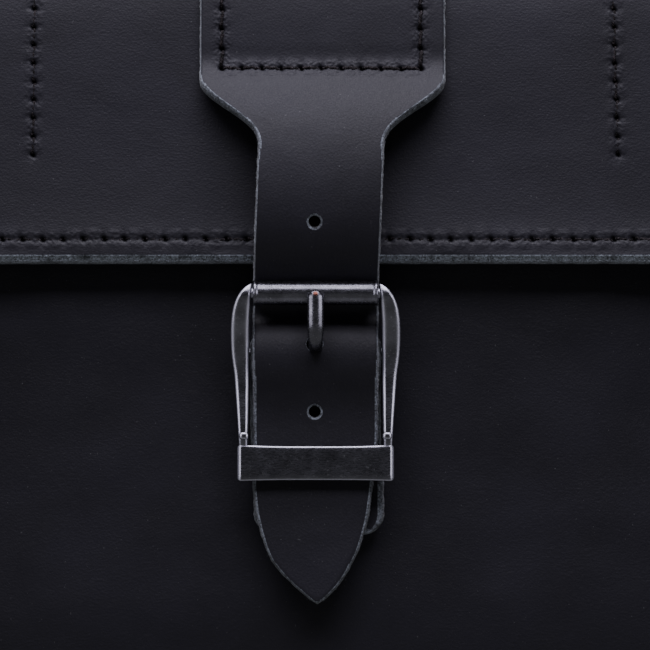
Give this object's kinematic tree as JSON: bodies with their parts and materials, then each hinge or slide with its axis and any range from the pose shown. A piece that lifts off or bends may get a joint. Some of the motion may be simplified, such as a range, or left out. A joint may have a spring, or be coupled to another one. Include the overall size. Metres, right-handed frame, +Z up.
{
  "type": "leather saddlebag",
  "caption": "Leather side bag for a motorcycle: a box pouch with a fold-over lid, closed by a wide-headed strap through a roller buckle.",
  "frame": {"origin": "middle of the flat bottom of the bag, on the surface it stands on", "axes": "+X along the bag's width, +Y from the buckled front towards the back that faces the motorcycle, +Z up"},
  "size_m": [0.324, 0.1417, 0.2891],
  "materials": {
    "black_leather": "heavy dyed leather, fine grain, dull sheen",
    "lining_leather": "thin leather, flesh side",
    "stiff_board": "matte",
    "black_nickel": "polished black nickel, worn at the edges"
  },
  "bodies": {
    "pouch": {"front_panel": "black_leather", "back_panel": "black_leather", "gusset": "black_leather", "mouth_band": "lining_leather", "back_board": "stiff_board", "hinge_band": "black_leather", "lid_fold": "black_leather", "chape": "black_leather", "chape_rivet_upper": "black_nickel", "chape_rivet_lower": "black_nickel", "ring_tab_upper_left": "black_leather", "ring_tab_upper_right": "black_leather", "ring_tab_lower_left": "black_leather", "ring_tab_lower_right": "black_leather", "tab_rivet_upper_left_a": "black_nickel", "tab_rivet_upper_left_b": "black_nickel", "tab_rivet_upper_right_a": "black_nickel", "tab_rivet_upper_right_b": "black_nickel", "tab_rivet_lower_left_a": "black_nickel", "tab_rivet_lower_left_b": "black_nickel", "tab_rivet_lower_right_a": "black_nickel", "tab_rivet_lower_right_b": "black_nickel"},
    "lid": {"lid_leather": "black_leather", "lid_lining": "lining_leather", "lid_band_left": "black_leather", "lid_band_right": "black_leather"},
    "strap": {"closure_strap": "black_leather"},
    "buckle": {"buckle_frame": "black_nickel"},
    "roller": {"buckle_roller": "black_nickel"},
    "prong": {"buckle_prong": "black_nickel"},
    "ring_upper_left": {"back_ring_upper_left": "black_nickel"},
    "ring_upper_right": {"back_ring_upper_right": "black_nickel"},
    "ring_lower_left": {"back_ring_lower_left": "black_nickel"},
    "ring_lower_right": {"back_ring_lower_right": "black_nickel"}
  },
  "joints": [
    {"name": "lid_hinge", "type": "hinge", "parent": "pouch", "child": "lid", "pos_m": [0, 0.0465, 0.2755], "axis": [-1, 0, 0], "range_deg": [0, 160], "deforming": ["lid_fold"]},
    {"name": "strap_lift", "type": "hinge", "parent": "lid", "child": "strap", "pos_m": [0, -0.0645, 0.222], "axis": [-1, 0, 0], "range_deg": [0, 85], "deforming": ["closure_strap"]},
    {"name": "buckle_tilt", "type": "hinge", "parent": "pouch", "child": "buckle", "pos_m": [-0.0008, -0.0625, 0.131], "axis": [1, 0, 0], "range_deg": [-8, 4]},
    {"name": "roller_spin", "type": "hinge", "parent": "buckle", "child": "roller", "pos_m": [-0.0008, -0.0734, 0.15], "axis": [1, 0, 0], "continuous": true},
    {"name": "prong_swing", "type": "hinge", "parent": "buckle", "child": "prong", "pos_m": [-0.0008, -0.0625, 0.131], "axis": [1, 0, 0], "range_deg": [0, 70]},
    {"name": "ring_upper_left_swing", "type": "hinge", "parent": "pouch", "child": "ring_upper_left", "pos_m": [-0.095, 0.0551, 0.19], "axis": [1, 0, 0], "range_deg": [0, 120]},
    {"name": "ring_upper_right_swing", "type": "hinge", "parent": "pouch", "child": "ring_upper_right", "pos_m": [0.095, 0.0551, 0.19], "axis": [1, 0, 0], "range_deg": [0, 120]},
    {"name": "ring_lower_left_swing", "type": "hinge", "parent": "pouch", "child": "ring_lower_left", "pos_m": [-0.095, 0.0551, 0.085], "axis": [1, 0, 0], "range_deg": [0, 120]},
    {"name": "ring_lower_right_swing", "type": "hinge", "parent": "pouch", "child": "ring_lower_right", "pos_m": [0.095, 0.0551, 0.085], "axis": [1, 0, 0], "range_deg": [0, 120]}
  ]
}
